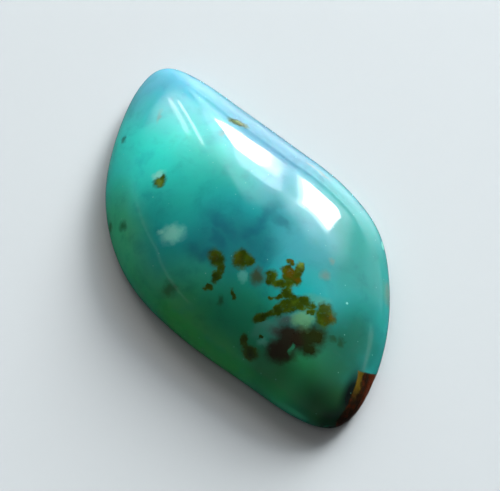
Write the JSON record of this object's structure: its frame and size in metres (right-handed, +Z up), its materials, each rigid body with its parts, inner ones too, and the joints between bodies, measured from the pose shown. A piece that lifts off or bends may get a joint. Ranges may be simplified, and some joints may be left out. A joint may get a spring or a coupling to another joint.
{
  "type": "polished gem silica stone",
  "caption": "Freeform polished cabochon of blue-green gem silica with a flat base, a low dome over a steep bevel, mossy inclusions and a patch of host rock at one tip.",
  "frame": {"origin": "Centre of the flat base on which the stone rests, at the middle of its box seen from above.", "axes": "+Z up out of the base, +Y along the long axis towards the plain blue tip, X across the stone; the tip with the host-rock patch points to -Y."},
  "size_m": [0.015, 0.0258, 0.0048],
  "materials": {
    "gem_silica": "polished translucent blue-green chalcedony with olive moss-like inclusions, whitish clouds and a brown rough host-rock patch on the side at one tip"
  },
  "bodies": {
    "root": {"gem_silica": "gem_silica"}
  },
  "joints": []
}
